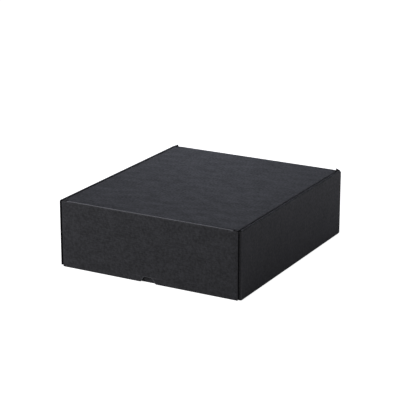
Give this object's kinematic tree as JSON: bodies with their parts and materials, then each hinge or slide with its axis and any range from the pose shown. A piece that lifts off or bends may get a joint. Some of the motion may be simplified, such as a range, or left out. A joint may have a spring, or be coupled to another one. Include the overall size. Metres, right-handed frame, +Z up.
{
  "type": "hinged-lid gift box",
  "caption": "Flat rectangular gift box folded from one sheet of black corrugated board, with rolled side walls, a hinged lid and a full-height front flap with a thumb notch.",
  "frame": {"origin": "middle of the box's footprint, on the surface it stands on", "axes": "+X to the box's right as seen from the front, +Y from the front flap to the hinge at the back, +Z up"},
  "size_m": [0.3, 0.338, 0.1054],
  "materials": {
    "outer_liner": "black dyed paper facing of corrugated board, matte with a faint sheen and a fine mottled grain",
    "inner_liner": "black dyed paper, matte, inside of the board"
  },
  "bodies": {
    "tray": {"base_panel": "inner_liner", "front_wall": "inner_liner", "back_wall": "outer_liner", "side_wall_left": "outer_liner", "side_wall_right": "outer_liner", "side_roll_left": "outer_liner", "side_roll_right": "outer_liner", "inner_wall_left": "inner_liner", "inner_wall_right": "inner_liner", "corner_flap_front_left": "outer_liner", "corner_flap_front_right": "outer_liner", "corner_flap_back_left": "outer_liner", "corner_flap_back_right": "outer_liner", "base_fold_front": "outer_liner", "base_fold_back": "outer_liner", "base_fold_left": "outer_liner", "base_fold_right": "outer_liner", "corner_fold_front_left": "outer_liner", "corner_fold_front_right": "outer_liner", "corner_fold_back_left": "outer_liner", "corner_fold_back_right": "outer_liner", "lid_hinge_fold": "outer_liner"},
    "lid": {"lid_panel": "outer_liner", "lid_side_fold_left": "outer_liner", "lid_side_fold_right": "outer_liner", "front_flap_fold": "outer_liner"},
    "flap_front": {"front_flap": "outer_liner"},
    "flap_left": {"lid_side_flap_left": "inner_liner"},
    "flap_right": {"lid_side_flap_right": "inner_liner"}
  },
  "joints": [
    {"name": "lid_hinge", "type": "hinge", "parent": "tray", "child": "lid", "pos_m": [0, 0.16844, 0.10244], "axis": [-1, 0, 0], "range_deg": [0, 180], "deforming": ["lid_hinge_fold"]},
    {"name": "front_flap_hinge", "type": "hinge", "parent": "lid", "child": "flap_front", "pos_m": [0, -0.16844, 0.10244], "axis": [-1, 0, 0], "range_deg": [0, 135], "deforming": ["front_flap_fold"]},
    {"name": "lid_side_flap_left_hinge", "type": "hinge", "parent": "lid", "child": "flap_left", "pos_m": [-0.1425, 0, 0.1013], "axis": [0, -1, 0], "range_deg": [0, 85], "deforming": ["lid_side_fold_left"]},
    {"name": "lid_side_flap_right_hinge", "type": "hinge", "parent": "lid", "child": "flap_right", "pos_m": [0.1425, 0, 0.1013], "axis": [0, 1, 0], "range_deg": [0, 85], "deforming": ["lid_side_fold_right"]}
  ]
}
